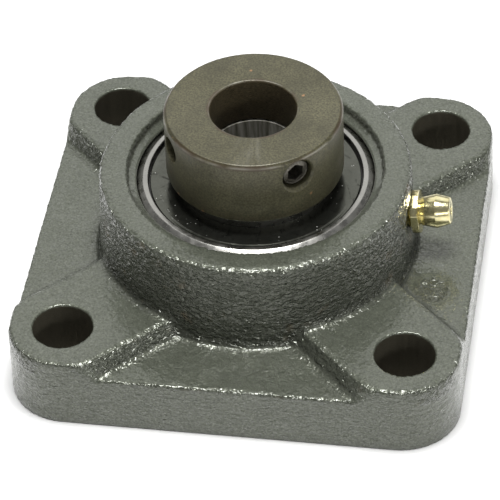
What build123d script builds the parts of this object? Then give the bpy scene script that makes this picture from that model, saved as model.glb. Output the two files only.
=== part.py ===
from build123d import *
import os
from math import cos, radians, sin, sqrt, tan

# Four-bolt flange bearing unit: a square cast housing that holds a self-aligning ball bearing
# insert with an eccentric locking collar. Millimetres. The origin is the centre of the flange's
# back face, +Z runs along the shaft towards the collar, and +X points at the grease fitting.

# --- Housing ---------------------------------------------------------------------------------
flange_side = 84.4
bolt_spacing = 63.5
bolt_hole_radius = 5.75
corner_radius = 11.3
cast_draft = 0.8                 # degrees, on the flange's sides
floor_height = 11.5              # top of the flange between the arms
arm_height = 14.6                # top of the diagonal arms and their bolt pads
arm_half_width = 10.7            # at the top of an arm
arm_slope = 32.0                 # degrees, the arms' sides
arm_edge_round = 0.7
hub_height = 29.5
hub_base_radius = 30.0           # at floor_height
hub_top_radius = 29.35
hub_edge_round = 1.3
hub_foot_round = 1.2
front_recess_radius = 24.15
front_recess_floor = 28.3
rear_recess_radius = 25.0
bearing_height = 20.0            # centre of the spherical seat above the back face
seat_front_half = 7.5            # the seat spans this much above its centre
seat_rear_half = 8.3             # and this much below it
seat_clearance = 0.05
loading_slot_width = 14.6
cast_mark_radius = 3.5
cast_mark_depth = 0.3
cast_mark_x = 34.5
cast_mark_y = -11.0

# --- Bearing rings, balls and cage -----------------------------------------------------------
ring_radius = 23.5               # spherical outside of the outer ring
ring_width = 15.0
ring_corner = 0.6                # bevel between the ring's faces and its spherical outside
ball_count = 8
ball_radius = 3.969
pitch_radius = 16.75
ball_clearance = 0.02
groove_radius = 4.13
outer_shoulder_radius = 19.2
seal_bore_radius = 20.25
seal_step = 4.6                  # seal seat, from the ring's middle plane
inner_land_radius = 14.3
shaft_radius = 7.9375
inner_ring_rear = 12.5
inner_ring_width = 21.4
inner_land_top = 29.6
cam_radius = 12.2
cam_offset = 0.8
cage_sheet = 0.55
cage_half_width = 1.4
cage_ball_gap = 0.06
cage_split_gap = 0.02            # each cage half starts this far from the middle plane
rivet_radius = 0.6
rivet_head_radius = 1.05
rivet_head_height = 0.35
first_ball_angle = 22.5

# --- Seals and slingers ----------------------------------------------------------------------
seal_lip_clearance = 0.05
seal_thickness = 0.7
seal_web_offset = 4.9            # underside of the web, from the middle plane
seal_bead_width = 0.7
seal_bead_top = 5.8
slinger_radius = 19.85
slinger_top = 6.85
slinger_sheet = 0.55
slinger_hub_width = 0.45
slinger_hub_bottom = 5.97

# --- Anti-rotation pin -----------------------------------------------------------------------
pin_radius = 1.25
pin_clearance = 0.05
pin_inner_end = 21.65
pin_outer_end = 24.6
pin_groove_end = 24.95
tilt_limit = 5.0                 # degrees that the insert may tilt each way in the seat

# --- Locking collar and set screw ------------------------------------------------------------
collar_radius = 16.65
collar_bottom = 30.2
collar_top = 43.5
collar_bore_radius = 8.05
collar_recess_radius = 12.5
collar_recess_top = 34.2
collar_top_chamfer = 0.7
collar_bottom_chamfer = 0.4
collar_bore_chamfer = 0.45
collar_hole_height = 39.3
screw_angle = -52.0
screw_radius = 2.96
screw_clearance = 0.04
screw_inner_end = 9.45
screw_length = 6.0
screw_socket_flats = 3.0
screw_socket_depth = 3.0
screw_chamfer = 0.45
screw_mouth_chamfer = 0.35
drift_hole_angle = -149.5
drift_hole_radius = 2.5
drift_hole_depth = 4.5

# --- Grease fitting --------------------------------------------------------------------------
fitting_x = 30.07                # rear face of the hexagon, on the fitting's axis
fitting_z = 21.11
fitting_rise = 7.5               # degrees that the axis rises outwards
fitting_thread_radius = 2.95
fitting_hole_radius = 3.0
fitting_shank_length = 5.45
fitting_spot_radius = 5.2
fitting_spot_gap = 1.2           # from the spot face to the hexagon
fitting_hex_flats = 8.0
fitting_hex_thickness = 1.1
fitting_hex_turn = 8.0
fitting_neck_radius = 2.45
fitting_head_base_radius = 2.65
fitting_head_radius = 3.25
fitting_tip_radius = 2.5
fitting_neck_end = 1.4
fitting_ridge = 4.25
fitting_length = 6.9
fitting_bore_radius = 1.3
fitting_bore_end = 6.25
fitting_inlet_radius = 0.85
fitting_outlet_radius = 0.8
check_ball_radius = 1.0
check_ball_clearance = 0.02
spring_wire_radius = 0.15
spring_turns = 6

# --- Derived values --------------------------------------------------------------------------
seat_radius = ring_radius + seat_clearance
front_mouth_radius = sqrt(seat_radius**2 - seat_front_half**2)
rear_mouth_radius = sqrt(seat_radius**2 - seat_rear_half**2)
bolt_offset = bolt_spacing / 2
inner_groove_bottom = pitch_radius - ball_radius - ball_clearance
outer_groove_bottom = pitch_radius + ball_radius + ball_clearance
ring_face = ring_width / 2
ring_face_radius = sqrt(ring_radius**2 - ring_face**2)
pin_sweep = pin_outer_end * sin(radians(tilt_limit)) + pin_radius
fitting_plane = Plane(
    origin=(fitting_x, 0, fitting_z),
    x_dir=(0, 1, 0),
    z_dir=(cos(radians(fitting_rise)), 0, sin(radians(fitting_rise))),
)


def radial_plane(angle, height):
    """A plane on the shaft's axis whose normal points outwards at the given angle."""
    direction = (cos(radians(angle)), sin(radians(angle)), 0)
    return Plane(origin=(0, 0, height), x_dir=(0, 0, 1), z_dir=direction)


def save(piece, name):
    """Label a finished piece and write it as one STEP file."""
    piece.part.label = name
    export_step(piece.part, f"parts/{name}.step")


os.makedirs("parts", exist_ok=True)

# =============================================================================================
# Housing: one casting with a square flange, four diagonal arms and a round hub
# =============================================================================================
with BuildPart() as housing:
    # Flange at full arm height, with drafted sides
    with BuildSketch():
        RectangleRounded(flange_side, flange_side, corner_radius)
    extrude(amount=arm_height, taper=cast_draft)
    # Four low pockets between the arms
    with BuildSketch(Plane.XY.offset(floor_height)):
        Rectangle(flange_side * 1.2, flange_side * 1.2)
    extrude(amount=arm_height, mode=Mode.SUBTRACT)
    with BuildSketch(Plane.XY.offset(floor_height)):
        for arm_angle in (45, 135):
            arm_foot = arm_half_width + (arm_height - floor_height) * tan(radians(arm_slope))
            SlotCenterToCenter(bolt_spacing * sqrt(2), 2 * arm_foot, rotation=arm_angle)
    extrude(amount=arm_height - floor_height, taper=arm_slope)
    with BuildSketch():
        RectangleRounded(flange_side, flange_side, corner_radius)
    extrude(amount=arm_height, taper=cast_draft, mode=Mode.INTERSECT)
    fillet(housing.faces().sort_by(Axis.Z)[-1].edges(), radius=arm_edge_round)
    # Hub
    with BuildSketch(Plane.XZ):
        with BuildLine():
            foot_outer = (hub_base_radius + hub_foot_round, floor_height)
            foot_inner = (hub_base_radius, floor_height + hub_foot_round)
            Polyline((0, 0), (hub_base_radius, 0), (hub_base_radius, floor_height - 1))
            Polyline((hub_base_radius, floor_height - 1), (foot_outer[0], floor_height - 1), foot_outer)
            RadiusArc(foot_outer, foot_inner, hub_foot_round)
            Polyline(foot_inner, (hub_top_radius, hub_height), (0, hub_height), (0, 0))
        make_face()
    revolve(axis=Axis.Z)
    fillet(housing.faces().sort_by(Axis.Z)[-1].edges(), radius=hub_edge_round)
    # Bore: rear recess, spherical seat and stepped front recess
    with BuildSketch(Plane.XZ):
        with BuildLine():
            rear_mouth = (rear_mouth_radius, bearing_height - seat_rear_half)
            front_mouth = (front_mouth_radius, bearing_height + seat_front_half)
            Polyline((0, -1), (rear_recess_radius, -1), (rear_recess_radius, rear_mouth[1]), rear_mouth)
            ThreePointArc(rear_mouth, (seat_radius, bearing_height), front_mouth)
            Polyline(
                front_mouth,
                (front_recess_radius, front_recess_floor),
                (front_recess_radius, hub_height + 1),
                (0, hub_height + 1),
                (0, -1),
            )
        make_face()
    revolve(axis=Axis.Z, mode=Mode.SUBTRACT)
    # Two slots at the back, through which the insert is turned into its seat
    with BuildSketch(Plane.XY):
        Circle(ring_radius + 0.1)
        Rectangle(loading_slot_width, 3 * ring_radius, mode=Mode.INTERSECT)
    extrude(amount=bearing_height, mode=Mode.SUBTRACT)
    # Bolt holes
    with Locations(Plane.XY.offset(arm_height)):
        with GridLocations(bolt_spacing, bolt_spacing, 2, 2):
            Hole(bolt_hole_radius)
    # Groove for the anti-rotation pin, open towards the back
    with BuildSketch(Plane.XY):
        with Locations((-pin_groove_end / 2, 0)):
            Rectangle(pin_groove_end, 2 * (pin_radius + pin_clearance))
    extrude(amount=bearing_height + pin_sweep + 0.2, mode=Mode.SUBTRACT)
    # Grease hole and its spot face
    with BuildSketch(fitting_plane.offset(-fitting_spot_gap)):
        Circle(fitting_spot_radius)
    extrude(amount=6, mode=Mode.SUBTRACT)
    with BuildSketch(fitting_plane):
        Circle(fitting_hole_radius)
    extrude(amount=-fitting_spot_radius * 2, mode=Mode.SUBTRACT)
    # Shallow blank cast mark
    with BuildSketch(Plane.XY.offset(floor_height)):
        with Locations((cast_mark_x, cast_mark_y)):
            Circle(cast_mark_radius)
    extrude(amount=-cast_mark_depth, mode=Mode.SUBTRACT)
save(housing, "housing")

# =============================================================================================
# Grease fitting: turned brass body, check ball and its spring
# =============================================================================================
with BuildPart() as grease_fitting_body:
    with BuildSketch(fitting_plane):
        RegularPolygon(fitting_hex_flats / 2, 6, major_radius=False, rotation=fitting_hex_turn)
    extrude(amount=fitting_hex_thickness)
    with BuildSketch(fitting_plane):
        Circle(fitting_thread_radius)
    extrude(amount=-fitting_shank_length)
    with BuildSketch(Plane(fitting_plane.origin, x_dir=fitting_plane.z_dir, z_dir=(0, 1, 0))):
        with BuildLine():
            Polyline(
                (0, 0),
                (0, fitting_neck_radius),
                (fitting_neck_end, fitting_neck_radius),
                (fitting_neck_end, fitting_head_base_radius),
                (fitting_ridge, fitting_head_radius),
                (fitting_length - 0.25, fitting_tip_radius),
                (fitting_length, fitting_tip_radius - 0.25),
                (fitting_length, 0),
                (0, 0),
            )
        make_face()
    revolve(axis=Axis(fitting_plane.origin, fitting_plane.z_dir))
    with BuildSketch(fitting_plane):
        Circle(fitting_bore_radius)
    extrude(amount=fitting_bore_end, mode=Mode.SUBTRACT)
    with BuildSketch(fitting_plane):
        Circle(fitting_inlet_radius)
    extrude(amount=fitting_length + 1, mode=Mode.SUBTRACT)
    with BuildSketch(fitting_plane):
        Circle(fitting_outlet_radius)
    extrude(amount=-fitting_shank_length - 1, mode=Mode.SUBTRACT)
save(grease_fitting_body, "grease_fitting_body")

check_ball_seat = sqrt(check_ball_radius**2 - fitting_inlet_radius**2) + check_ball_clearance
check_ball_place = fitting_bore_end - check_ball_seat
with BuildPart() as grease_fitting_ball:
    with Locations(fitting_plane.offset(check_ball_place)):
        Sphere(check_ball_radius)
save(grease_fitting_ball, "grease_fitting_ball")

spring_start = spring_wire_radius + 0.05
spring_end = check_ball_place - check_ball_radius - spring_wire_radius - 0.02
spring_height = spring_end - spring_start
spring_coil_radius = fitting_bore_radius - spring_wire_radius - 0.15
with BuildPart() as grease_fitting_spring:
    with BuildLine() as spring_path:
        Helix(
            spring_height / spring_turns,
            spring_height,
            spring_coil_radius,
            center=fitting_plane.offset(spring_start).origin,
            direction=fitting_plane.z_dir,
        )
    with BuildSketch(spring_path.line ^ 0):
        Circle(spring_wire_radius)
    sweep(path=spring_path.line, is_frenet=True)
save(grease_fitting_spring, "grease_fitting_spring")

# =============================================================================================
# Outer ring, its pin and its seals
# =============================================================================================
with BuildPart() as outer_ring:
    with BuildSketch(Plane.XZ):
        with BuildLine():
            groove_centre = outer_groove_bottom - groove_radius
            groove_half = sqrt(groove_radius**2 - (outer_shoulder_radius - groove_centre) ** 2)
            edge_break = 0.25
            edge_height = ring_face - ring_corner
            edge_radius = sqrt(ring_radius**2 - edge_height**2)
            for side in (1, -1):
                Polyline(
                    (outer_shoulder_radius, bearing_height + side * groove_half),
                    (outer_shoulder_radius, bearing_height + side * seal_step),
                    (seal_bore_radius, bearing_height + side * seal_step),
                    (seal_bore_radius, bearing_height + side * (ring_face - edge_break)),
                    (seal_bore_radius + edge_break, bearing_height + side * ring_face),
                    (ring_face_radius - ring_corner, bearing_height + side * ring_face),
                    (edge_radius, bearing_height + side * edge_height),
                )
            ThreePointArc(
                (outer_shoulder_radius, bearing_height + groove_half),
                (outer_groove_bottom, bearing_height),
                (outer_shoulder_radius, bearing_height - groove_half),
            )
            ThreePointArc(
                (edge_radius, bearing_height + edge_height),
                (ring_radius, bearing_height),
                (edge_radius, bearing_height - edge_height),
            )
        make_face()
    revolve(axis=Axis.Z)
    # Blind hole for the anti-rotation pin
    with BuildSketch(radial_plane(180, bearing_height).offset(pin_inner_end - 0.1)):
        Circle(pin_radius + pin_clearance)
    extrude(amount=pin_outer_end, mode=Mode.SUBTRACT)
    # Two lubrication holes beside the raceway
    for hole_angle in (30, 210):
        with BuildSketch(radial_plane(hole_angle, bearing_height + groove_half - 0.4)):
            Circle(0.6)
        extrude(amount=ring_radius * 1.2, mode=Mode.SUBTRACT)
save(outer_ring, "outer_ring")

with BuildPart() as anti_rotation_pin:
    with BuildSketch(radial_plane(180, bearing_height).offset(pin_inner_end)):
        Circle(pin_radius)
    extrude(amount=pin_outer_end - pin_inner_end)
    chamfer(anti_rotation_pin.edges(), length=0.2)
save(anti_rotation_pin, "anti_rotation_pin")

for side, name in ((1, "front_seal"), (-1, "rear_seal")):
    with BuildPart() as seal:
        with BuildSketch(Plane.XZ):
            lip_radius = inner_land_radius + seal_lip_clearance
            web_low = seal_web_offset
            web_high = seal_web_offset + seal_thickness
            bead_radius = seal_bore_radius - seal_bead_width
            outline = [
                (lip_radius, web_low + 0.2),
                (lip_radius + 0.5, web_low),
                (bead_radius, web_low),
                (bead_radius, seal_step),
                (seal_bore_radius, seal_step),
                (seal_bore_radius, seal_bead_top),
                (bead_radius, seal_bead_top),
                (bead_radius, web_high),
                (lip_radius + 0.5, web_high),
                (lip_radius, web_high - 0.2),
                (lip_radius, web_low + 0.2),
            ]
            with BuildLine():
                Polyline(*[(radius, bearing_height + side * offset_z) for radius, offset_z in outline])
            make_face()
        revolve(axis=Axis.Z)
    save(seal, name)

# =============================================================================================
# Inner ring with its eccentric cam, and the two slingers pressed onto it
# =============================================================================================
inner_ring_front = inner_ring_rear + inner_ring_width
with BuildPart() as inner_ring:
    with BuildSketch(Plane.XZ):
        with BuildLine():
            groove_centre = inner_groove_bottom + groove_radius
            groove_half = sqrt(groove_radius**2 - (groove_centre - inner_land_radius) ** 2)
            edge_break = 0.3
            Polyline(
                (inner_land_radius, bearing_height - groove_half),
                (inner_land_radius, inner_ring_rear + edge_break),
                (inner_land_radius - edge_break, inner_ring_rear),
                (0, inner_ring_rear),
                (0, inner_land_top),
                (inner_land_radius - edge_break, inner_land_top),
                (inner_land_radius, inner_land_top - edge_break),
                (inner_land_radius, bearing_height + groove_half),
            )
            ThreePointArc(
                (inner_land_radius, bearing_height + groove_half),
                (inner_groove_bottom, bearing_height),
                (inner_land_radius, bearing_height - groove_half),
            )
        make_face()
    revolve(axis=Axis.Z)
    with BuildSketch(Plane.XY.offset(inner_land_top)):
        with Locations((0, cam_offset)):
            Circle(cam_radius)
    extrude(amount=inner_ring_front - inner_land_top)
    chamfer(inner_ring.faces().sort_by(Axis.Z)[-1].edges(), length=edge_break)
    with Locations(Plane.XY.offset(inner_ring_front)):
        Hole(shaft_radius)
    bore_edges = inner_ring.edges().filter_by(GeomType.CIRCLE)
    chamfer(bore_edges.filter_by(lambda edge: abs(edge.radius - shaft_radius) < 0.01), length=edge_break)
save(inner_ring, "inner_ring")

for side, name in ((1, "front_slinger"), (-1, "rear_slinger")):
    with BuildPart() as slinger:
        with BuildSketch(Plane.XZ):
            outline = [
                (inner_land_radius, slinger_hub_bottom),
                (inner_land_radius, slinger_top),
                (slinger_radius - 0.15, slinger_top),
                (slinger_radius, slinger_top - 0.15),
                (slinger_radius, slinger_top - slinger_sheet),
                (inner_land_radius + slinger_hub_width, slinger_top - slinger_sheet),
                (inner_land_radius + slinger_hub_width, slinger_hub_bottom),
                (inner_land_radius, slinger_hub_bottom),
            ]
            with BuildLine():
                Polyline(*[(radius, bearing_height + side * offset_z) for radius, offset_z in outline])
            make_face()
        revolve(axis=Axis.Z)
    save(slinger, name)

# =============================================================================================
# Cage: two pressed ribbons riveted together between the balls
# =============================================================================================
rivet_angle = first_ball_angle + 180 / ball_count
pocket_inner = ball_radius + cage_ball_gap
pocket_outer = pocket_inner + cage_sheet
for side, name in ((1, "cage_front"), (-1, "cage_rear")):
    ribbon_plane = Plane(origin=(0, 0, bearing_height), x_dir=(1, 0, 0), z_dir=(0, 0, side))
    with BuildPart() as cage_half:
        with BuildSketch(ribbon_plane.offset(cage_split_gap)):
            Circle(pitch_radius + cage_half_width)
            Circle(pitch_radius - cage_half_width, mode=Mode.SUBTRACT)
        extrude(amount=cage_sheet)
        with Locations(Plane.XY.offset(bearing_height)):
            with PolarLocations(pitch_radius, ball_count, start_angle=first_ball_angle):
                Sphere(pocket_outer)
        with BuildSketch(ribbon_plane.offset(cage_split_gap)):
            Circle(pitch_radius + cage_half_width)
            Circle(pitch_radius - cage_half_width, mode=Mode.SUBTRACT)
        extrude(amount=pocket_outer + 1, mode=Mode.INTERSECT)
        with Locations(Plane.XY.offset(bearing_height)):
            with PolarLocations(pitch_radius, ball_count, start_angle=first_ball_angle):
                Sphere(pocket_inner, mode=Mode.SUBTRACT)
        with BuildSketch(ribbon_plane):
            with PolarLocations(pitch_radius, ball_count, start_angle=side * rivet_angle):
                Circle(rivet_radius)
        extrude(amount=pocket_outer, mode=Mode.SUBTRACT)
    save(cage_half, name)

with BuildPart() as cage_rivets:
    head_start = cage_split_gap + cage_sheet
    with BuildSketch(Plane.XY.offset(bearing_height - head_start - rivet_head_height / 2)):
        with PolarLocations(pitch_radius, ball_count, start_angle=rivet_angle):
            Circle(rivet_radius)
    extrude(amount=2 * head_start + rivet_head_height)
    for head_plane in (
        Plane.XY.offset(bearing_height + head_start),
        Plane.XY.offset(bearing_height - head_start - rivet_head_height),
    ):
        with BuildSketch(head_plane):
            with PolarLocations(pitch_radius, ball_count, start_angle=rivet_angle):
                Circle(rivet_head_radius)
        extrude(amount=rivet_head_height)
save(cage_rivets, "cage_rivets")

# =============================================================================================
# Balls
# =============================================================================================
for number in range(ball_count):
    ball_angle = radians(first_ball_angle + number * 360 / ball_count)
    with BuildPart() as ball:
        with Locations((pitch_radius * cos(ball_angle), pitch_radius * sin(ball_angle), bearing_height)):
            Sphere(ball_radius)
    save(ball, f"ball_{number + 1}")

# =============================================================================================
# Eccentric locking collar and its set screw
# =============================================================================================
with BuildPart() as locking_collar:
    with BuildSketch(Plane.XY.offset(collar_bottom)):
        Circle(collar_radius)
    extrude(amount=collar_top - collar_bottom)
    chamfer(locking_collar.faces().sort_by(Axis.Z)[-1].edges(), length=collar_top_chamfer)
    chamfer(locking_collar.faces().sort_by(Axis.Z)[0].edges(), length=collar_bottom_chamfer)
    with Locations(Plane.XY.offset(collar_top)):
        Hole(collar_bore_radius)
    chamfer(locking_collar.faces().sort_by(Axis.Z)[-1].edges().sort_by(SortBy.RADIUS)[0],
            length=collar_bore_chamfer)
    # Eccentric recess that takes the inner ring's cam
    with BuildSketch(Plane.XY.offset(collar_bottom)):
        with Locations((0, cam_offset)):
            Circle(collar_recess_radius)
    extrude(amount=collar_recess_top - collar_bottom, mode=Mode.SUBTRACT)
    # Threaded hole for the set screw, with its chamfered mouth
    screw_plane = radial_plane(screw_angle, collar_hole_height)
    with BuildSketch(screw_plane):
        Circle(screw_radius + screw_clearance)
    extrude(amount=collar_radius + 1, mode=Mode.SUBTRACT)
    mouth_depth = collar_radius - sqrt(collar_radius**2 - screw_radius**2) + screw_mouth_chamfer
    with BuildSketch(screw_plane.offset(collar_radius - mouth_depth)):
        Circle(screw_radius + screw_clearance)
    extrude(amount=mouth_depth + 0.1, taper=-35, mode=Mode.SUBTRACT)
    # Blind hole for the drift pin that turns the collar
    with BuildSketch(radial_plane(drift_hole_angle, collar_hole_height).offset(collar_radius - drift_hole_depth)):
        Circle(drift_hole_radius)
    extrude(amount=drift_hole_depth + 1, mode=Mode.SUBTRACT)
save(locking_collar, "locking_collar")

with BuildPart() as set_screw:
    with BuildSketch(screw_plane.offset(screw_inner_end)):
        Circle(screw_radius)
    extrude(amount=screw_length)
    chamfer(set_screw.edges().filter_by(GeomType.CIRCLE), length=screw_chamfer)
    # Hexagonal socket at the outer end, cupped point at the inner end
    with BuildSketch(screw_plane.offset(screw_inner_end + screw_length - screw_socket_depth)):
        RegularPolygon(screw_socket_flats / 2, 6, major_radius=False)
    extrude(amount=screw_socket_depth + 1, mode=Mode.SUBTRACT)
    with BuildSketch(screw_plane.offset(screw_inner_end)):
        Circle(screw_radius * 0.6)
    extrude(amount=0.9, taper=45, mode=Mode.SUBTRACT)
save(set_screw, "set_screw")
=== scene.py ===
from math import cos, pi, radians, sin, sqrt, tan

import bmesh
import bpy
import numpy as np
from mathutils import Matrix, Vector, noise


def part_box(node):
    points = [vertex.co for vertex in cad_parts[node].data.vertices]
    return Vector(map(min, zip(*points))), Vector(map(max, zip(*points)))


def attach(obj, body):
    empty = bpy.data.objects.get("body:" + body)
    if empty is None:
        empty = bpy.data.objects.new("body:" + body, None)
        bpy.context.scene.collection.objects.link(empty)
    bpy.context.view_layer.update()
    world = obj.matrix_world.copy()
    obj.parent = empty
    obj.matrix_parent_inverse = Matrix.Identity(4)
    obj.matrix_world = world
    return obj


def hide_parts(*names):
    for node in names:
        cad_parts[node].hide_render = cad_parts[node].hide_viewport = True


# A four-bolt flange bearing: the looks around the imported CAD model. The CAD frame is used as it is:
# the back face lies on z = 0, +Z runs along the shaft and +X points at the grease fitting. Helper
# sizes are in millimetres and are turned into metres by MM where a mesh is made.
MM = 0.001
smooth_angle = 35                # degrees, the sharpest edge between faces that is shaded smooth
drill_overrun = 2                # how far a cutter with a flared mouth reaches past the hole's mouth

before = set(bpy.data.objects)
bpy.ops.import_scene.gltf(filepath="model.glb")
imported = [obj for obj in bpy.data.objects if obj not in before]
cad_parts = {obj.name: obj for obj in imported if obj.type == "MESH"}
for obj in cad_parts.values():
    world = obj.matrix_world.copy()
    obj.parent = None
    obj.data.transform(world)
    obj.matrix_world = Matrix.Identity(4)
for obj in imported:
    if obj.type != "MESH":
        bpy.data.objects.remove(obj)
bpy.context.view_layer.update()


# =============================================================================================
# Mesh helpers
# =============================================================================================
def link(name, mesh):
    piece = bpy.data.objects.new(name, mesh)
    bpy.context.scene.collection.objects.link(piece)
    return piece


def coordinates(mesh):
    """The mesh's points in millimetres, one row each."""
    flat = np.empty(len(mesh.vertices) * 3)
    mesh.vertices.foreach_get("co", flat)
    return flat.reshape(-1, 3) / MM


def set_coordinates(mesh, points):
    mesh.vertices.foreach_set("co", (np.asarray(points, float) * MM).ravel())
    mesh.update()


def point_normals(mesh):
    flat = np.empty(len(mesh.vertices) * 3)
    mesh.vertex_normals.foreach_get("vector", flat)
    return flat.reshape(-1, 3)


def apply_modifiers(piece):
    """Replace the piece's mesh by what its modifiers make of it."""
    bpy.context.view_layer.update()
    evaluated = piece.evaluated_get(bpy.context.evaluated_depsgraph_get())
    made = bpy.data.meshes.new_from_object(evaluated)
    piece.modifiers.clear()
    piece.data = made


def smooth_by_angle(piece, angle):
    piece.data.shade_smooth()
    piece.data.set_sharp_from_angle(angle=radians(angle))


def ramp_between(values, low, high):
    """0 below low, 1 above high, and a smooth step between them."""
    share = np.clip((values - low) / (high - low), 0, 1)
    return share * share * (3 - 2 * share)


def ramp_down(values, low, high):
    """1 below low, 0 above high, and a smooth step between them."""
    return ramp_between(-values, -high, -low)


def close_to(values, centre, full, none):
    """1 within full of centre, 0 farther from it than none, and a smooth step between them."""
    return ramp_down(np.abs(values - centre), full, none)


def wobble(points, size, seed):
    """Smooth noise from about -1 to 1 whose lumps are about size millimetres across."""
    moved = np.asarray(points) / size + np.array([seed * 7.31, seed * 3.17, seed * 5.53])
    return np.array([noise.noise(point) for point in moved.tolist()])


def relax(points, edges, weights, rounds):
    """Pull each point towards the mean of its neighbours, by its weight from 0 to 1."""
    first, second = edges[:, 0], edges[:, 1]
    count = len(points)
    degree = np.bincount(first, minlength=count) + np.bincount(second, minlength=count)
    for _ in range(rounds):
        mean = np.empty_like(points)
        for axis in range(3):
            column = points[:, axis]
            total = np.bincount(first, weights=column[second], minlength=count)
            total += np.bincount(second, weights=column[first], minlength=count)
            mean[:, axis] = total / degree
        points = points + (mean - points) * weights[:, None]
    return points


def rounded(corners, steps=4):
    """Rows (radius, height, shift) for corners (radius, height, rounding, shift), each rounded off."""
    longest_share = 0.45         # of the distance to the next corner
    rows = []
    for number, (radius, height, rounding, shift) in enumerate(corners):
        here = Vector((radius, height))
        to_last = Vector(corners[number - 1][:2]) - here
        to_next = Vector(corners[(number + 1) % len(corners)][:2]) - here
        if rounding == 0:
            rows.append((radius, height, shift))
            continue
        reach = rounding / tan(to_last.angle(to_next) / 2)
        reach = min(reach, longest_share * to_last.length, longest_share * to_next.length)
        start = here + to_last.normalized() * reach
        end = here + to_next.normalized() * reach
        for step in range(steps + 1):
            t = step / steps
            point = start * (1 - t) ** 2 + here * 2 * t * (1 - t) + end * t * t
            rows.append((point.x, point.y, shift))
    return rows


def arc_rows(centre, radius, start, end, steps=24):
    """Rows on an arc about centre (radius, height), from start to end in degrees."""
    angles = np.radians(np.linspace(start, end, steps + 1))
    return [(centre[0] + radius * cos(a), centre[1] + radius * sin(a), 0) for a in angles]


def hexagon(half_flats, segments, turn=0):
    """The radius of a hexagon at each of a turned piece's segments."""
    angles = np.degrees(np.arange(segments) * 2 * pi / segments) + turn
    return half_flats / np.cos(np.radians((angles + 30) % 60 - 30))


def turned(name, rows, segments=256, place=None, angle=smooth_angle):
    """A closed piece through rings (radius, height, shift), with one radius or one per segment."""
    angles = np.arange(segments) * 2 * pi / segments
    rings = []
    for radius, height, shift in rows:
        x = radius * np.cos(angles)
        y = radius * np.sin(angles) + shift
        rings.append(np.stack([x, y, np.full(segments, height)], axis=1))
    points = np.concatenate(rings) * MM
    if place is not None:
        points = points @ np.array(place.to_3x3()).T + np.array(place.translation) * MM
    ring = np.arange(len(rows))[:, None] * segments
    next_ring = (np.arange(1, len(rows) + 1) % len(rows))[:, None] * segments
    here = np.arange(segments)[None, :]
    after = (here + 1) % segments
    faces = np.stack([ring + here, ring + after, next_ring + after, next_ring + here], axis=2)
    mesh = bpy.data.meshes.new(name)
    mesh.from_pydata(points.tolist(), [], faces.reshape(-1, 4).tolist())
    shape = bmesh.new()
    shape.from_mesh(mesh)
    bmesh.ops.recalc_face_normals(shape, faces=shape.faces)
    shape.to_mesh(mesh)
    shape.free()
    piece = link(name, mesh)
    smooth_by_angle(piece, angle)
    return piece


def axis_place(origin, direction):
    """Turns a piece built up +Z so that it runs along direction from origin (millimetres)."""
    turn = Vector(direction).to_track_quat("Z", "Y").to_matrix().to_4x4()
    return Matrix.Translation(Vector(origin)) @ turn


def cut(piece, cutters, angle=smooth_angle):
    """Subtract the cutters from the piece and remove them."""
    for cutter in cutters:
        modifier = piece.modifiers.new("cut", "BOOLEAN")
        modifier.operation = "DIFFERENCE"
        modifier.solver = "EXACT"
        modifier.object = cutter
    apply_modifiers(piece)
    for cutter in cutters:
        bpy.data.objects.remove(cutter)
    smooth_by_angle(piece, angle)


def drill(name, radius, start, end, place, mouth=0.0, segments=96):
    """A cutter for a round hole from start to end along its axis, flared at the outer end by mouth."""
    tip = 0.001
    rows = [(tip, start, 0), (radius, start, 0)]
    if mouth:
        face = end - drill_overrun
        rows += [(radius, face - mouth, 0), (radius + mouth * 0.3, face - mouth * 0.5, 0)]
        rows += [(radius + mouth, face, 0), (radius + mouth + drill_overrun, end, 0)]
    else:
        rows.append((radius, end, 0))
    rows.append((tip, end, 0))
    return turned(name, rows, segments, place)


def finish_piece(piece, body, slot, material, *nodes):
    """Give a piece its material and its body, and hide the CAD nodes that it stands for. The slot is not
    used.
    """
    piece.data.materials.clear()
    piece.data.materials.append(material)
    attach(piece, body)
    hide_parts(*nodes)


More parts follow.
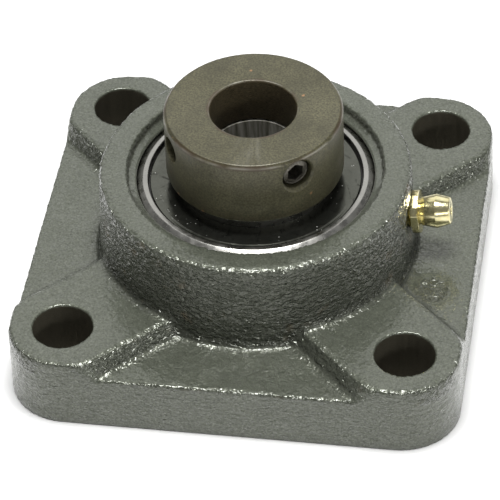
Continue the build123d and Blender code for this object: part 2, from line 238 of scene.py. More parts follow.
# =============================================================================================
# Material helpers
# =============================================================================================
class Look:
    """One procedural material and short ways of adding nodes to it."""

    def __init__(self, name, colour, metallic, roughness, **sockets):
        self.material = bpy.data.materials.new(name)
        self.material.use_nodes = True
        self.tree = self.material.node_tree
        self.shader = self.tree.nodes["Principled BSDF"]
        self.shader.inputs["Base Color"].default_value = (*colour, 1)
        self.shader.inputs["Metallic"].default_value = metallic
        self.shader.inputs["Roughness"].default_value = roughness
        for socket, value in sockets.items():
            self.shader.inputs[socket.replace("_", " ")].default_value = value
        self.place = self.add("TexCoord").outputs["Object"]

    def add(self, kind, inputs=(), **settings):
        node = self.tree.nodes.new("ShaderNode" + kind)
        for setting, value in settings.items():
            setattr(node, setting, value)
        for socket, value in dict(inputs).items():
            self.set(node, socket, value)
        return node

    def set(self, node, socket, value):
        if isinstance(value, bpy.types.NodeSocket):
            self.tree.links.new(value, node.inputs[socket])
        else:
            node.inputs[socket].default_value = value

    def noise(self, size, detail=2.0, rough=0.5, place=None, warp=0.0):
        """Noise from 0 to 1 with lumps of about size millimetres."""
        inputs = {"Vector": place or self.place, "Scale": 1 / (size * MM), "Detail": detail,
                  "Roughness": rough, "Distortion": warp}
        return self.add("TexNoise", inputs).outputs["Fac"]

    def cells(self, size, feature="F1", place=None):
        """Distance within cells of about size millimetres, from their middles or their edges."""
        inputs = {"Vector": place or self.place, "Scale": 1 / (size * MM)}
        return self.add("TexVoronoi", inputs, feature=feature).outputs["Distance"]

    def fit(self, value, low, high, new_low=0.0, new_high=1.0):
        """value from low..high brought to new_low..new_high, held within it."""
        inputs = {"Value": value, "From Min": low, "From Max": high, "To Min": new_low, "To Max": new_high}
        return self.add("MapRange", inputs).outputs["Result"]

    def math(self, kind, first, second=0.0):
        return self.add("Math", {0: first, 1: second}, operation=kind).outputs["Value"]

    def both(self, first, second):
        """Two shares multiplied, which is high where both are."""
        return self.math("MULTIPLY", first, second)

    def apart(self, value, other):
        """How far two numbers are apart."""
        return self.math("ABSOLUTE", self.math("SUBTRACT", value, other))

    def blend(self, share, first, second):
        """A colour mix: first where share is 0 and second where it is 1."""
        node = self.add("Mix", data_type="RGBA")
        for socket, value in ((0, share), (6, first), (7, second)):
            if isinstance(value, tuple) and len(value) == 3:
                value = (*value, 1)
            self.set(node, socket, value)
        return node.outputs[2]

    def attribute(self, name):
        return self.add("Attribute", attribute_name=name).outputs["Fac"]

    def length(self, first, second):
        """The length of a flat vector with these two parts."""
        squares = [self.math("MULTIPLY", part, part) for part in (first, second)]
        return self.math("SQRT", self.math("ADD", *squares))

    def xyz(self):
        """The place's three coordinates in metres."""
        split = self.add("SeparateXYZ", {"Vector": self.place})
        return split.outputs["X"], split.outputs["Y"], split.outputs["Z"]

    def round_place(self, around, along):
        """Coordinates that run around and along Z, so that noise looks like turning marks."""
        x, y, z = self.xyz()
        parts = {"X": (self.math("ARCTAN2", y, x), around), "Y": (self.length(x, y), along), "Z": (z, along)}
        joined = {axis: self.math("MULTIPLY", *part) for axis, part in parts.items()}
        return self.add("CombineXYZ", joined).outputs["Vector"]

    def spokes(self, around, outward):
        """Coordinates stretched along the radius, so that noise makes streaks away from Z."""
        x, y, _ = self.xyz()
        parts = {"X": (self.math("ARCTAN2", y, x), around), "Y": (self.length(x, y), outward)}
        joined = {axis: self.math("MULTIPLY", *part) for axis, part in parts.items()}
        return self.add("CombineXYZ", joined).outputs["Vector"]

    def stacked(self, ratio):
        """Coordinates squeezed so that noise spreads flat, in layers across Z."""
        return self.add("Mapping", {"Vector": self.place, "Scale": (1, 1, ratio)}).outputs["Vector"]

    def near_angle(self, angle):
        """How far round from an angle in degrees, in radians."""
        x, y, _ = self.xyz()
        return self.apart(self.math("ARCTAN2", y, x), radians(angle))

    def near_height(self, height):
        """Distance in millimetres above or below a height."""
        return self.apart(self.math("DIVIDE", self.xyz()[2], MM), height)

    def near_ring(self, radius, height):
        """Distance in millimetres from a circle around Z."""
        x, y, z = self.xyz()
        out = self.math("SUBTRACT", self.length(x, y), radius * MM)
        up = self.math("SUBTRACT", z, height * MM)
        return self.math("DIVIDE", self.length(out, up), MM)

    def bored(self, base, radius, marks, dark, light):
        """Colour the inside of a bore, and say where it is."""
        x, y, _ = self.xyz()
        inside = self.fit(self.length(x, y), (radius + 0.05) * MM, (radius + 0.2) * MM, 1, 0)
        return self.blend(inside, base, self.blend(self.fit(marks, 0.3, 0.7), dark, light)), inside

    def bump(self, height, depth, after=None):
        """A bump of the given depth in millimetres, on top of another bump if one is given."""
        inputs = {"Height": height, "Distance": depth * MM, "Strength": 1.0}
        if after is not None:
            inputs["Normal"] = after
        return self.add("Bump", inputs).outputs["Normal"]

    def wear(self, **made):
        """Link what the nodes made to the shader's sockets."""
        for socket, value in made.items():
            self.tree.links.new(value, self.shader.inputs[socket.replace("_", " ")])
        return self.material


def scaled(colour, factor):
    """A colour made lighter or darker."""
    return tuple(min(1, channel * factor) for channel in colour)


def make_paint():
    """Thick grey-green enamel on cast iron. Mesh attributes say where the skin is rough or bare, and where
    painted shade darkens the creases.
    """
    look = Look("housing_paint", (0.066, 0.073, 0.051), 0.0, 0.3, Coat_Roughness=0.07,
                Specular_Tint=(0.95, 1, 0.82, 1))
    cast, painted_crevice_shade, bare = look.attribute("cast"), look.attribute("painted_crevice_shade"), look.attribute("bare")
    rough_skin = look.fit(cast, 0.5, 0.95)
    painted = look.fit(bare, 0.2, 0.8, 1, 0)

    clouds = look.noise(9, detail=4, rough=0.6)
    base = look.blend(look.fit(clouds, 0.3, 0.7), (0.063, 0.069, 0.053), (0.077, 0.084, 0.064))
    dark_grain = look.fit(look.noise(0.34, detail=2), 0.3, 0.7, 0.5, 0)
    base = look.blend(dark_grain, base, (0.02, 0.022, 0.017))
    pale_grain = look.fit(look.noise(0.3, detail=2), 0.5, 0.75, 0, 0.4)
    base = look.blend(pale_grain, base, (0.16, 0.17, 0.13))
    pinholes = look.fit(look.noise(0.5, detail=3, rough=0.7), 0.62, 0.8, 0, 0.35)
    base = look.blend(pinholes, base, (0.036, 0.038, 0.03))
    # painted shade: the paint is darkened in the casting's creases and hollows
    base = look.blend(look.fit(painted_crevice_shade, 0.1, 0.9, 0, 0.75), base, (0.015, 0.015, 0.011))
    # painted shade: the rough upright walls, the hub wall most, are made darker
    base = look.blend(look.both(rough_skin, 0.45), base, (0.012, 0.013, 0.009))
    stain = look.fit(look.noise(5, detail=3), 0.6, 0.72, 0, 0.35)
    base = look.blend(look.both(stain, look.fit(cast, 0.5, 0.9)), base, (0.1, 0.062, 0.026))
    base = look.blend(look.fit(look.attribute("mark"), 0, 1, 0, 0.6), base, (0.025, 0.027, 0.018))
    drilled = look.noise(0.35, detail=3, place=look.stacked(9))
    hole = look.blend(drilled, (0.034, 0.03, 0.02), (0.1, 0.092, 0.07))
    base = look.blend(look.fit(bare, 0.3, 0.8), base, hole)

    peel = look.noise(1.05, detail=1.5, warp=0.7, place=look.stacked(1.6))
    lumpy = look.bump(look.both(peel, look.fit(cast, 0, 1, 0.04, 1)), 0.6)
    normal = look.bump(look.noise(0.22, detail=2), 0.012, after=lumpy)

    rough = look.fit(look.noise(1.6, detail=3), 0.3, 0.7, 0.24, 0.4)
    rough = look.both(rough, look.fit(rough_skin, 0, 1, 1, 0.55))
    rough = look.math("MAXIMUM", rough, look.fit(bare, 0.2, 0.8, 0, 0.6))
    coat = look.both(painted, look.fit(look.noise(0.42, detail=2), 0.32, 0.68, 0.15, 1))
    gloss = look.both(painted, look.fit(look.noise(0.36, detail=2), 0.32, 0.68, 0.25, 1))
    look.wear(Base_Color=base, Roughness=rough, Normal=normal, Coat_Normal=lumpy)
    return look.wear(Coat_Weight=coat, Specular_IOR_Level=gloss)


def turned_steel(name, colour, metallic, roughness, mark_depth, mottling):
    """A look for turned metal: fine rings around Z, light and dark patches, and rust specks."""
    look = Look(name, colour, metallic, roughness, Anisotropic=0.45)
    tangent = look.add("Tangent", direction_type="RADIAL", axis="Z").outputs["Tangent"]
    rings = look.noise(0.18, detail=3, place=look.round_place(0.0006, 1.0))
    patches = look.noise(5, detail=4, rough=0.6)
    dark, light = scaled(colour, 1 - mottling), scaled(colour, 1 + mottling)
    base = look.blend(look.fit(patches, 0.3, 0.7), dark, light)
    base = look.blend(look.fit(rings, 0.35, 0.65, 0, mottling), base, dark)
    grain = look.noise(0.36, detail=2)
    base = look.blend(look.fit(grain, 0.32, 0.68, 0.85, 0), base, scaled(colour, 0.35))
    specks = look.fit(look.cells(3.5), 0.07, 0.12, 1, 0)
    rusty = look.fit(look.noise(4), 0.57, 0.61)
    base = look.blend(look.both(specks, rusty), base, (0.3, 0.17, 0.08))
    rough = look.fit(look.noise(2.2, detail=3), 0.3, 0.7, roughness * 0.85, roughness * 1.2)
    normal = look.bump(grain, 0.012, after=look.bump(rings, mark_depth))
    look.wear(Base_Color=base, Roughness=rough, Normal=normal, Tangent=tangent)
    return look, base


def make_screw_steel():
    """Darkened steel, without the collar's wear."""
    look, _ = turned_steel("screw_steel", (0.17, 0.16, 0.135), 0.85, 0.35, 0.004, 0.2)
    return look.material


def make_collar_steel():
    """Blackened steel: brown wear and a painted highlight along the top edges, a dull bore and a painted
    sheen streak on the top.
    """
    metallic = 0.25
    look, base = turned_steel("collar_steel", (0.106, 0.099, 0.055), metallic, 0.36, 0.006, 0.3)
    for edge in ((collar_radius - 0.1, collar_top - 0.5), (collar_bore + 0.15, collar_top - 0.1)):
        near = look.near_ring(*edge)
        brown = look.both(look.fit(near, 0.3, 0.75, 1, 0), look.fit(look.noise(6, detail=3), 0.44, 0.56))
        base = look.blend(look.both(brown, 0.8), base, (0.055, 0.036, 0.02))
        # painted highlight: a pale broken line along each top edge
        bright = look.both(look.fit(near, 0.05, 0.32, 1, 0), look.fit(look.noise(5, detail=2), 0.42, 0.62))
        base = look.blend(look.both(bright, 0.5), base, (0.3, 0.29, 0.25))
    boring_marks = look.noise(0.5, detail=3, place=look.stacked(6))
    base, in_bore = look.bored(base, collar_bore, boring_marks, (0.012, 0.009, 0.005), (0.115, 0.093, 0.052))
    # painted sheen: a pale radial streak on the top, at one angle near the front
    streaks = look.fit(look.noise(1.1, detail=4, place=look.spokes(0.012, 0.15)), 0.4, 0.66)
    painted_sheen = look.both(streaks, look.fit(look.near_angle(sheen_streak_angle), 0.07, 0.3, 1, 0))
    painted_sheen = look.both(painted_sheen, look.fit(look.near_height(collar_top), 0.1, 0.4, 0.15, 0))
    base = look.blend(painted_sheen, base, (0.34, 0.33, 0.29))
    return look.wear(Base_Color=base, Metallic=look.fit(in_bore, 0, 1, metallic, 0.1))


def make_slinger_steel():
    """Thin bright sheet with fine turning marks, scratches, and white specks that are partly dust and partly
    painted glints.
    """
    look = Look("slinger_steel", (0.1, 0.103, 0.087), 0.9, 0.2)
    brushed = look.noise(0.12, detail=2, place=look.round_place(0.0008, 1.0))
    clouds = look.noise(4, detail=4, rough=0.65)
    base = look.blend(look.fit(clouds, 0.35, 0.65), (0.092, 0.095, 0.08), (0.116, 0.119, 0.102))
    base = look.blend(look.fit(look.noise(0.3, detail=2), 0.35, 0.7, 0, 0.3), base, (0.05, 0.05, 0.04))
    scratch = look.cells(2.4, "DISTANCE_TO_EDGE", place=look.round_place(0.012, 0.55))
    scratched = look.both(look.fit(scratch, 0.0, 0.035, 1, 0), look.fit(look.noise(1.7), 0.5, 0.62))
    base = look.blend(scratched, base, (0.02, 0.02, 0.016))
    # white specks: partly dust, partly painted glints
    dust_and_glints = look.both(look.fit(look.cells(0.8), 0.08, 0.13, 1, 0), look.fit(look.noise(3), 0.54, 0.6))
    base = look.blend(dust_and_glints, base, (0.7, 0.7, 0.66))
    rough = look.fit(look.noise(1.1, detail=4), 0.3, 0.7, 0.14, 0.26)
    metallic = look.fit(dust_and_glints, 0, 1, 0.9, 0)
    return look.wear(Base_Color=base, Roughness=rough, Normal=look.bump(brushed, 0.004), Metallic=metallic)


def make_rubber():
    """Black rubber with a faint grain."""
    look = Look("seal_rubber", (0.012, 0.012, 0.011), 0.0, 0.45)
    clouds = look.noise(1.5, detail=3)
    base = look.blend(look.fit(clouds, 0.35, 0.7), (0.009, 0.009, 0.008), (0.02, 0.019, 0.017))
    return look.wear(Base_Color=base, Normal=look.bump(look.noise(0.12, detail=2), 0.01))


def make_brass():
    """Pale bright brass with small tarnished specks."""
    look = Look("brass", (0.8, 0.72, 0.42), 1.0, 0.15)
    clouds = look.noise(1.8, detail=4, rough=0.65)
    base = look.blend(look.fit(clouds, 0.35, 0.7), (0.82, 0.76, 0.47), (0.7, 0.62, 0.31))
    specks = look.noise(0.3, detail=3)
    base = look.blend(look.fit(specks, 0.66, 0.8, 0, 0.5), base, (0.36, 0.29, 0.1))
    rough = look.fit(look.noise(0.6, detail=3), 0.3, 0.7, 0.14, 0.26)
    marks = look.noise(0.16, detail=2, rough=0.6)
    return look.wear(Base_Color=base, Roughness=rough, Normal=look.bump(marks, 0.006))


def make_polished(name, colour, roughness, smear, bore=None):
    """Ground or polished steel with faint oil smears, and a duller bore if one is given."""
    look = Look(name, colour, 1.0, roughness)
    clouds = look.noise(smear, detail=4, rough=0.6)
    base = look.blend(look.fit(clouds, 0.35, 0.65), scaled(colour, 0.85), colour)
    rough = look.fit(look.noise(smear / 3, detail=3), 0.3, 0.7, roughness * 0.7, roughness * 1.4)
    if bore is not None:
        streaks = look.noise(0.8, detail=3, place=look.stacked(0.1))
        base, in_bore = look.bored(base, bore, streaks, (0.09, 0.085, 0.06), (0.42, 0.41, 0.36))
        rough = look.math("MAXIMUM", rough, look.both(in_bore, 0.5))
        look.wear(Metallic=look.fit(in_bore, 0, 1, 1, 0.3))
    return look.wear(Base_Color=base, Roughness=rough, Normal=look.bump(look.noise(0.1, detail=2), 0.002))


# =============================================================================================
# Housing: the casting, with rounded edges, a lumpy painted skin and machined faces left plain
# =============================================================================================
# All sizes are in millimetres, and heights are above the back face
casting_voxel = 0.29
casting_triangles = 190000       # what is kept of the remeshed casting
bore_blend = (24.6, 25.6)        # radii between the machined bore and the cast outside
recess_radius = 24.15
recess_step = (27.9, 28.3)       # heights of the recess's rounded bottom corner
bolt_offset = 31.75
bolt_hole_radius = 5.75
hub_wall_radius = 30.0
floor_height = 11.5
arm_height = 14.6
edge_band = (40.6, 41.6)         # where arms and pockets give way to the flange's sides, from the middle
arm_side_start = (10.5, 11.2)    # heights over which the arms' sides and the pockets begin
arm_side_end = (14.4, 15.2)      # and over which they end
pocket_end = (11.9, 12.6)
cast_mark = (34.5, -11.0)
cast_mark_radius = 3.5
# Layers of noise, each with its depth, size and seed
fine_lumps = ((0.14, 1.0, 1), (0.06, 0.6, 2))
broad_swell = ((0.07, 6.5, 3), (0.03, 2.6, 4))
hole_raggedness = ((0.09, 0.8, 5),)
step_raggedness = ((0.22, 0.7, 6),)
pocket_smears = ((0.08, 2.2, 7),)
lump_squeeze = (1, 1, 1.25)      # lumps are a little flatter than they are wide
smear_squeeze = (1, 0.3, 1)      # smears run along Y
hole_inset = 0.14                # how far the bolt holes' walls are moved towards their axes


def layered(points, layers, squeeze=(1, 1, 1)):
    """Layers of smooth noise added up, in millimetres."""
    squeezed = points * np.array(squeeze)
    return sum(depth * wobble(squeezed, size, seed) for depth, size, seed in layers)


def remeshed_casting():
    """A copy of the CAD casting as one even mesh, fine enough to carry a cast skin."""
    piece = link("housing_casting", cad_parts["housing"].data.copy())
    shape = bmesh.new()
    shape.from_mesh(piece.data)
    bmesh.ops.remove_doubles(shape, verts=shape.verts, dist=1e-6)
    shape.to_mesh(piece.data)
    shape.free()
    remesh = piece.modifiers.new("remesh", "REMESH")
    remesh.mode = "VOXEL"
    remesh.voxel_size = casting_voxel * MM
    apply_modifiers(piece)
    return piece


def soften(mesh, points, edges, cast_skin):
    """Round the casting's edges and fill its corners, and say how hollow each point lies."""
    full_bend = 0.06             # how far smoothing moves a point that counts as on an edge
    top_start = floor_height + 0.7
    evenly = np.full(len(points), 0.5)
    points = relax(points, edges, evenly, 2)
    points = relax(points, edges, 0.6 * cast_skin, 4)
    softened = relax(points, edges, evenly, 14)
    set_coordinates(mesh, points)
    bend = np.einsum("ij,ij->i", softened - points, point_normals(mesh)) / full_bend
    ridge = np.clip(-bend - 0.3, 0, 1) * np.where(points[:, 2] > top_start, 1, 0.4)
    crevice = np.clip(bend - 0.2, 0, 1)
    points = relax(points, edges, 0.6 * cast_skin * np.maximum(ridge, crevice), 9)
    points = relax(points, edges, 0.6 * cast_skin * crevice, 22)
    softened = relax(points, edges, evenly, 14)
    set_coordinates(mesh, points)
    return points, np.einsum("ij,ij->i", softened - points, point_normals(mesh))


def make_housing(material):
    piece = remeshed_casting()
    mesh = piece.data
    edges = np.empty(len(mesh.edges) * 2, int)
    mesh.edges.foreach_get("vertices", edges)
    points = coordinates(mesh)

    # Where the skin is as cast, and not machined or drilled
    radius = np.hypot(points[:, 0], points[:, 1])
    from_bolt = np.hypot(np.abs(points[:, 0]) - bolt_offset, np.abs(points[:, 1]) - bolt_offset)
    cast_skin = ramp_between(radius, *bore_blend)
    cast_skin = cast_skin * ramp_between(from_bolt, bolt_hole_radius + 0.4, bolt_hole_radius + 1.2)
    cast_skin = cast_skin * ramp_between(points[:, 2], 0.4, 1.4)

    # The places that differ in their skin, each from 0 outside to 1 inside
    points, hollow = soften(mesh, points, edges.reshape(-1, 2), cast_skin)
    normals = point_normals(mesh)
    height = points[:, 2]
    upright = 1 - ramp_between(np.abs(normals[:, 2]), 0.55, 0.95)
    hub_wall = upright * close_to(radius, hub_wall_radius, 0.6, 1.6)
    hub_wall *= ramp_between(height, floor_height - 0.3, floor_height + 1.2)
    inside_edge = ramp_down(np.maximum(np.abs(points[:, 0]), np.abs(points[:, 1])), *edge_band)
    above_sides = ramp_between(height, *arm_side_start)
    arm_side = upright * inside_edge * above_sides
    arm_side *= ramp_down(height, *arm_side_end)
    pocket = ramp_down(height, *pocket_end) * above_sides * inside_edge
    hole_wall = ramp_down(from_bolt, bolt_hole_radius, bolt_hole_radius + 0.5) * upright
    hole_rim = close_to(from_bolt, bolt_hole_radius, 0.2, 0.7)
    hole_rim *= ramp_between(height, arm_height - 1.2, arm_height - 0.4)
    step_line = close_to(radius, recess_radius, 0.1, 0.5) * ramp_between(height, *recess_step)
    from_mark = np.hypot(points[:, 0] - cast_mark[0], points[:, 1] - cast_mark[1])
    mark = ramp_down(from_mark, cast_mark_radius - 0.5, cast_mark_radius + 0.2)
    mark *= ramp_down(height, floor_height + 0.2, floor_height + 0.5) * (normals[:, 2] > 0.2)
    crease = np.clip(np.abs(hollow) / 0.08 - 0.25, 0, 1)

    # How rough the skin is: most on upright walls and in the pockets, least on the tops
    rough = 0.45 * crease + 0.12 + 0.35 * upright
    rough = rough + 0.84 * np.maximum(hub_wall, 0.5 * arm_side) + 0.1 * pocket
    rough_skin = cast_skin * np.clip(rough, 0, 1)
    rough_skin = np.maximum(rough_skin * (1 - ramp_down(from_mark, 4, 5)), 0.5 * mark)

    move = layered(points, pocket_smears, smear_squeeze) * pocket * cast_skin
    move += layered(points, fine_lumps, lump_squeeze) * rough_skin
    move += layered(points, broad_swell) * cast_skin * (1 + 0.8 * pocket)
    move += layered(points, hole_raggedness) * hole_rim
    move += layered(points, step_raggedness) * step_line
    move += hole_inset * hole_wall
    box_low, box_high = (np.array(corner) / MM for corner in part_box("housing"))
    points = np.clip(points + normals * move[:, None], box_low, box_high)
    set_coordinates(mesh, points)

    # What the paint needs to know at each point, stored before the mesh is thinned
    bare = ramp_down(from_bolt, bolt_hole_radius + 0.08, bolt_hole_radius + 0.3)
    bare *= ramp_down(points[:, 2], arm_height - 0.45, arm_height - 0.1)
    # painted shade: one of these values darkens the paint where the casting is hollow
    marks = {"cast": rough_skin, "painted_crevice_shade": np.clip(hollow / 0.12, 0, 1), "bare": bare, "mark": mark}
    for name, values in marks.items():
        mesh.attributes.new(name, "FLOAT", "POINT").data.foreach_set("value", values.astype(np.float32))
    thinner = piece.modifiers.new("thinner", "DECIMATE")
    thinner.ratio = casting_triangles / (2 * len(mesh.polygons))
    apply_modifiers(piece)
    piece.data.shade_smooth()
    finish_piece(piece, "housing", "housing_paint", material, "housing")


# =============================================================================================
# Bearing insert: rings, seals and slingers
# =============================================================================================
bearing_height = 20.0
ring_radius = 23.5
ring_half_width = 7.5
ring_corner_angle = 3.2
ring_corner_drop = 0.62
ring_lip_radius = 21.15
ring_lip_round = 0.5
race_radius = 4.13
race_edge_width = 0.05
outer_race_centre = 16.609
inner_race_centre = 16.891
outer_shoulder = 19.2
pin_hole_radius = 1.3
pin_hole_start = 21.55
pin_hole_end = 26
seal_bore = 20.25
seal_seat = 4.6                  # heights of the seals and slingers are from the rings' middle
seal_gap = 0.05
seal_lip_width = 0.45
seal_lip = (5.1, 5.4)
seal_web = (4.9, 5.6)
seal_bead_width = 0.7
seal_bead_top = 5.8
slinger_hub_width = 0.45
slinger_hub_bottom = 5.97
slinger_bottom = 6.3
slinger_top = 6.85
slinger_rim = (19.0, 19.3)       # radii between which the disc steps down at its rim
slinger_rim_top = 6.77
slinger_radius = 19.85
land_radius = 14.3
land_top = 29.6
ring_bottom = 12.5
ring_top = 33.9
ring_end_round = 0.35
cam_radius = 12.2
cam_shift = 0.8
shaft_radius = 7.9375


def make_outer_ring(material):
    h = bearing_height
    race_half = sqrt(race_radius**2 - (outer_shoulder - outer_race_centre) ** 2)
    race_angle = np.degrees(np.arctan2(race_half, outer_shoulder - outer_race_centre))
    face_radius = sqrt(ring_radius**2 - ring_half_width**2)
    sphere_angle = np.degrees(np.arctan2(ring_half_width, face_radius)) - ring_corner_angle
    sphere_end = (ring_radius * cos(radians(sphere_angle)), ring_radius * sin(radians(sphere_angle)))

    def half(side):
        return rounded([
            (outer_shoulder, h + side * (race_half + race_edge_width), 0, 0),
            (outer_shoulder, h + side * seal_seat, 0.05, 0),
            (seal_bore, h + side * seal_seat, 0.05, 0),
            (seal_bore, h + side * ring_half_width, 0.18, 0),
            (ring_lip_radius, h + side * ring_half_width, ring_lip_round, 0),
            (face_radius - 0.1, h + side * (ring_half_width - ring_corner_drop), ring_lip_round, 0),
            (sphere_end[0], h + side * sphere_end[1], 0, 0),
        ])

    front = half(1)[:-1]
    rear = half(-1)[:-1]
    race = arc_rows((outer_race_centre, h), race_radius, -race_angle, race_angle)
    outside = arc_rows((0, h), ring_radius, sphere_angle, -sphere_angle, 48)
    piece = turned("outer_ring_ground", race + front + outside + rear[::-1], 320)
    pin_place = axis_place((0, 0, h), (-1, 0, 0))
    cut(piece, [drill("pin_hole", pin_hole_radius, pin_hole_start, pin_hole_end, pin_place, segments=48)])
    finish_piece(piece, "outer_ring", "bearing_steel", material, "outer_ring")


def rows_on_side(corners, side):
    """Rounded rows for corners whose heights are from the rings' middle, in front (1) or behind (-1)."""
    return [(radius, bearing_height + side * z, shift) for radius, z, shift in rounded(corners)]


def make_seals(material):
    lip = land_radius + seal_gap
    web_start = lip + seal_lip_width
    bead = seal_bore - seal_bead_width
    corners = [
        (lip, seal_lip[0], 0.08, 0),
        (web_start, seal_web[0], 0.1, 0),
        (bead, seal_web[0], 0.05, 0),
        (bead, seal_seat, 0.08, 0),
        (seal_bore, seal_seat, 0.12, 0),
        (seal_bore, seal_bead_top, 0.2, 0),
        (bead, seal_bead_top, 0.2, 0),
        (bead, seal_web[1], 0.08, 0),
        (web_start, seal_web[1], 0.1, 0),
        (lip, seal_lip[1], 0.08, 0),
    ]
    for side, name in ((1, "front"), (-1, "rear")):
        piece = turned(name + "_seal_moulding", rows_on_side(corners, side))
        finish_piece(piece, "outer_ring", "seal_rubber", material, name + "_seal")


def make_slingers(material):
    hub = land_radius + slinger_hub_width
    corners = [
        (land_radius, slinger_hub_bottom, 0, 0),
        (land_radius, slinger_top, 0.12, 0),
        (slinger_rim[0], slinger_top, 0.3, 0),
        (slinger_rim[1], slinger_rim_top, 0.3, 0),
        (slinger_radius, slinger_rim_top, 0.2, 0),
        (slinger_radius, slinger_bottom, 0.1, 0),
        (hub, slinger_bottom, 0.15, 0),
        (hub, slinger_hub_bottom, 0.1, 0),
    ]
    for side, name in ((1, "front"), (-1, "rear")):
        piece = turned(name + "_slinger_disc", rows_on_side(corners, side), 320, angle=50)
        finish_piece(piece, "inner_ring", "slinger_steel", material, name + "_slinger")


def make_inner_ring(material):
    h = bearing_height
    race_half = sqrt(race_radius**2 - (inner_race_centre - land_radius) ** 2)
    race_angle = np.degrees(np.arctan2(race_half, inner_race_centre - land_radius))
    race = arc_rows((inner_race_centre, h), race_radius, 180 + race_angle, 180 - race_angle)
    around = rounded([
        (land_radius, h + race_half + race_edge_width, 0, 0),
        (land_radius, land_top, 0.3, 0),
        (cam_radius, land_top, 0, cam_shift),
        (cam_radius, ring_top, 0.3, cam_shift),
        (shaft_radius, ring_top, 0.12, 0),
        (shaft_radius, ring_bottom, ring_end_round, 0),
        (land_radius, ring_bottom, ring_end_round, 0),
        (land_radius, h - race_half - race_edge_width, 0, 0),
    ])
    piece = turned("inner_ring_ground", race + around)
    finish_piece(piece, "inner_ring", "bearing_steel", material, "inner_ring")


# =============================================================================================
# Locking collar and set screw
# =============================================================================================
collar_radius = 16.65
collar_bottom = 30.2
collar_top = 43.5
collar_top_bevel = (0.55, 0.6)   # inwards and down
collar_bore = 8.05
collar_recess = 12.5
collar_recess_top = 34.2
collar_hole_height = 39.3
sheen_streak_angle = -84.0             # where the painted sheen streak lies on the collar's top
screw_angle = -52.0
screw_radius = 2.96
screw_clearance = 0.04
screw_hole_start = 5
screw_hole_mouth = 0.45
screw_hole_face = 0.25           # how far inside the collar's outside the mouth's rim lies
screw_start = 9.45
screw_end = 15.45
socket_half_flats = 1.5
socket_depth = 3.0
drift_angle = -149.5
drift_radius = 2.5
drift_floor = 12.15
drift_cutter_end = 19.65


def radial_place(angle, height):
    return axis_place((0, 0, height), (cos(radians(angle)), sin(radians(angle)), 0))


def make_collar(material):
    corners = [
        (collar_bore, collar_top, 0.5, 0),
        (collar_radius - collar_top_bevel[0], collar_top, 0.5, 0),
        (collar_radius, collar_top - collar_top_bevel[1], 0.5, 0),
        (collar_radius, collar_bottom, 0.45, 0),
        (collar_recess, collar_bottom, 0.3, cam_shift),
        (collar_recess, collar_recess_top, 0.1, cam_shift),
        (collar_bore, collar_recess_top, 0.2, 0),
    ]
    piece = turned("locking_collar_turned", rounded(corners, 6), 384)
    screw_place = radial_place(screw_angle, collar_hole_height)
    drift_place = radial_place(drift_angle, collar_hole_height)
    screw_hole_end = collar_radius + drill_overrun - screw_hole_face
    screw_hole = drill("screw_hole", screw_radius + screw_clearance, screw_hole_start, screw_hole_end,
                       screw_place, screw_hole_mouth)
    drift_hole = drill("drift_hole", drift_radius, drift_floor, drift_cutter_end, drift_place)
    cut(piece, [screw_hole, drift_hole], 30)
    finish_piece(piece, "locking_collar", "collar_steel", material, "locking_collar")


def make_set_screw(material):
    segments = 96
    socket = hexagon(socket_half_flats, segments)
    socket_floor = screw_end - socket_depth
    rows = [
        (0.01, socket_floor - 0.35, 0),
        (socket * 0.98, socket_floor, 0),
        (socket, socket_floor + 0.1, 0),
        (socket, screw_end - 0.15, 0),
        (socket + 0.12, screw_end, 0),
    ]
    rows += rounded([
        (2.35, screw_end, 0.15, 0),
        (2.75, screw_end - 0.35, 0.1, 0),
        (2.5, screw_end - 0.8, 0.05, 0),
        (2.9, screw_end - 1.2, 0.05, 0),
        (2.55, screw_end - 1.65, 0.05, 0),
        (screw_radius, screw_end - 2.1, 0.05, 0),
        (screw_radius, screw_start + 0.5, 0.1, 0),
        (2.5, screw_start, 0.1, 0),
        (1.75, screw_start, 0.1, 0),
        (0.01, screw_start + 0.9, 0, 0),
    ])
    place = radial_place(screw_angle, collar_hole_height)
    piece = turned("set_screw_socketed", rows, segments, place, 30)
    finish_piece(piece, "set_screw", "screw_steel", material, "set_screw")


# =============================================================================================
# Grease fitting
# =============================================================================================
fitting_origin = (30.07, 0, 21.11)
fitting_rise = 7.5               # degrees
fitting_shank = 5.45
thread_radius = 2.93
thread_depth = 0.5
thread_pitch = 0.95
thread_rings = 48
hex_half_flats = 4.0
hex_thickness = 1.15
hex_inner = 0.3                  # how far the hexagon reaches back over the thread
hex_turn = 8.0                   # degrees
hex_chamfer = 0.22
chamfer_shares = (0, 0.25, 0.5, 0.75, 1)
neck_radius = 2.45
head_radius = 3.25
head_height = 4.25
nose_radius = 2.52
nose_height = 6.75
fitting_end = 6.9
mouth_radius = 0.85
passage_radius = 1.3


def thread_rows(segments):
    """Rings up the shank, each with the thread's groove where the helix crosses it."""
    angles = np.arange(segments) / segments
    rows = []
    for step in range(thread_rings):
        height = -fitting_shank + 0.15 + step * (fitting_shank - hex_inner - 0.3) / (thread_rings - 1)
        turn = (height / thread_pitch - angles) % 1
        rows.append((thread_radius - thread_depth * np.abs(2 * turn - 1) ** 1.3, height, 0))
    return rows


def chamfered_hexagon_rows(segments):
    """The hexagon from back to front, with its corners turned off at both ends."""
    corners = hexagon(hex_half_flats, segments, hex_turn)
    lower, upper = [], []
    for share in chamfer_shares:
        radii = np.minimum(corners, hex_half_flats - 0.12 + 1.5 * hex_chamfer * share)
        rise = hex_chamfer * 0.45 * share
        lower.append((radii, rise - hex_inner, 0))
        upper.append((radii, hex_thickness - rise, 0))
    return lower + upper[::-1]


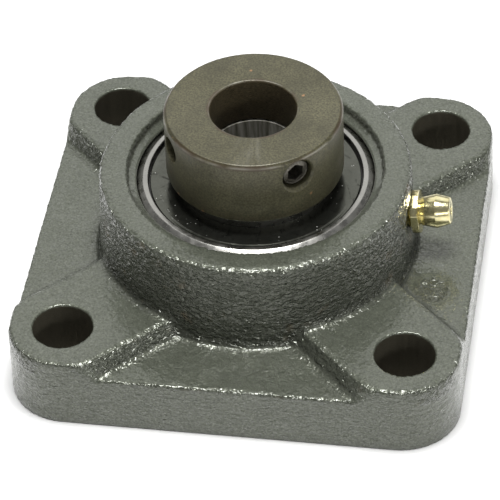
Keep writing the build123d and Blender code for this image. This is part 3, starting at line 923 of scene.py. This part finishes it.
def make_fitting(material):
    segments = 192
    rows = [(0.8, -fitting_shank, 0)] + thread_rows(segments)
    rows += [(2.5, -hex_inner - 0.05, 0), (2.5, -hex_inner, 0)]
    rows += chamfered_hexagon_rows(segments)
    rows += rounded([
        (neck_radius, hex_thickness, 0.12, 0),
        (neck_radius, 1.45, 0.1, 0),
        (2.68, 1.5, 0.05, 0),
        (head_radius, head_height, 0.12, 0),
        (nose_radius, nose_height, 0.2, 0),
        (2.3, fitting_end, 0.1, 0),
        (mouth_radius, fitting_end, 0.12, 0),
        (mouth_radius, 6.2, 0.05, 0),
        (passage_radius, 6.15, 0.05, 0),
        (passage_radius, 0, 0.05, 0),
        (0.8, -0.1, 0.05, 0),
    ])
    place = axis_place(fitting_origin, (cos(radians(fitting_rise)), 0, sin(radians(fitting_rise))))
    piece = turned("grease_fitting_turned", rows, segments, place, 28)
    finish_piece(piece, "housing", "brass", material, "grease_fitting_body")


# =============================================================================================
# Camera, floor and light
# =============================================================================================
camera_azimuth = 10.068          # degrees, to the right of straight at the front
camera_elevation = 42.414
camera_roll = -2.375
camera_distance = 613.142        # this and the sizes below are in millimetres
camera_lens = 231.85
camera_sensor = 36
aim_height = 15.0                # the camera looks at this height on Z, shifted in its own view
aim_shift_right = -1.436
aim_shift_up = -5.083
floor_half_side = 3              # metres
floor_white = (0.9, 0.9, 0.9)


def towards(azimuth, elevation):
    """The direction of a place azimuth degrees right of straight in front, and elevation degrees up."""
    az, el = radians(azimuth), radians(elevation)
    return Vector((sin(az) * cos(el), -cos(az) * cos(el), sin(el)))


def add_camera():
    az, roll = radians(camera_azimuth), radians(camera_roll)
    back = towards(camera_azimuth, camera_elevation)
    level = Vector((cos(az), sin(az), 0))
    raised = back.cross(level)
    right = cos(roll) * level + sin(roll) * raised
    up = cos(roll) * raised - sin(roll) * level
    target = Vector((0, 0, aim_height)) + aim_shift_right * right + aim_shift_up * up
    place = (target + camera_distance * back) * MM
    data = bpy.data.cameras.new("camera")
    data.lens = camera_lens
    data.sensor_width = camera_sensor
    data.clip_start = 0.01
    camera = bpy.data.objects.new("camera", data)
    camera.matrix_world = Matrix.Translation(place) @ Matrix((right, up, back)).transposed().to_4x4()
    bpy.context.scene.collection.objects.link(camera)
    bpy.context.scene.camera = camera


def add_softbox(name, azimuth, elevation, distance, size, brightness):
    """A lit panel facing the object, with the same brightness whatever its size in metres."""
    outward = towards(azimuth, elevation)
    data = bpy.data.lights.new(name, "AREA")
    data.shape = "RECTANGLE"
    data.size, data.size_y = size
    data.energy = brightness * pi * size[0] * size[1]
    light = bpy.data.objects.new(name, data)
    turn = outward.to_track_quat("Z", "Y").to_matrix().to_4x4()
    light.matrix_world = Matrix.Translation(outward * distance) @ turn
    bpy.context.scene.collection.objects.link(light)


def add_floor():
    mesh = bpy.data.meshes.new("floor")
    shape = bmesh.new()
    bmesh.ops.create_grid(shape, x_segments=1, y_segments=1, size=floor_half_side)
    shape.to_mesh(mesh)
    shape.free()
    floor = link("floor", mesh)
    look = Look("floor_paper", floor_white, 0.0, 0.8)
    tone = look.blend(look.noise(40, detail=2), (0.9, 0.9, 0.895), (0.92, 0.92, 0.915))
    floor.data.materials.append(look.wear(Base_Color=tone))


def add_surroundings(strength):
    world = bpy.data.worlds.new("studio")
    bpy.context.scene.world = world
    world.use_nodes = True
    background = world.node_tree.nodes["Background"]
    background.inputs["Color"].default_value = (1, 1, 1, 1)
    background.inputs["Strength"].default_value = strength
    bpy.context.scene.view_settings.view_transform = "Standard"


# =============================================================================================
# Build
# =============================================================================================
bearing_steel = make_polished("bearing_steel", (0.36, 0.355, 0.33), 0.28, 5, shaft_radius + 0.3)
ball_steel = make_polished("ball_steel", (0.7, 0.7, 0.7), 0.08, 3)
cage_steel = make_polished("cage_steel", (0.45, 0.44, 0.42), 0.35, 2)
spring_steel = make_polished("spring_steel", (0.4, 0.4, 0.4), 0.3, 1)

make_housing(make_paint())
make_outer_ring(bearing_steel)
make_seals(make_rubber())
make_slingers(make_slinger_steel())
make_inner_ring(bearing_steel)
make_collar(make_collar_steel())
make_set_screw(make_screw_steel())
make_fitting(make_brass())

# The parts inside keep their CAD shapes and only get a material
ball_count = 8
plain_nodes = {"grease_fitting_ball": ball_steel, "grease_fitting_spring": spring_steel,
               "anti_rotation_pin": bearing_steel, "cage_front": cage_steel, "cage_rear": cage_steel,
               "cage_rivets": cage_steel}
plain_nodes.update({f"ball_{number}": ball_steel for number in range(1, ball_count + 1)})
for node, material in plain_nodes.items():
    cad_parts[node].data.materials.clear()
    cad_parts[node].data.materials.append(material)

add_camera()
add_floor()
add_surroundings(0.2)
add_softbox("top_light", azimuth=10, elevation=88, distance=0.75, size=(0.34, 0.18), brightness=34)
add_softbox("front_light", azimuth=50, elevation=22, distance=0.9, size=(1.2, 0.08), brightness=8)
add_softbox("back_light", azimuth=190, elevation=40, distance=1.1, size=(1.6, 0.8), brightness=1.03)
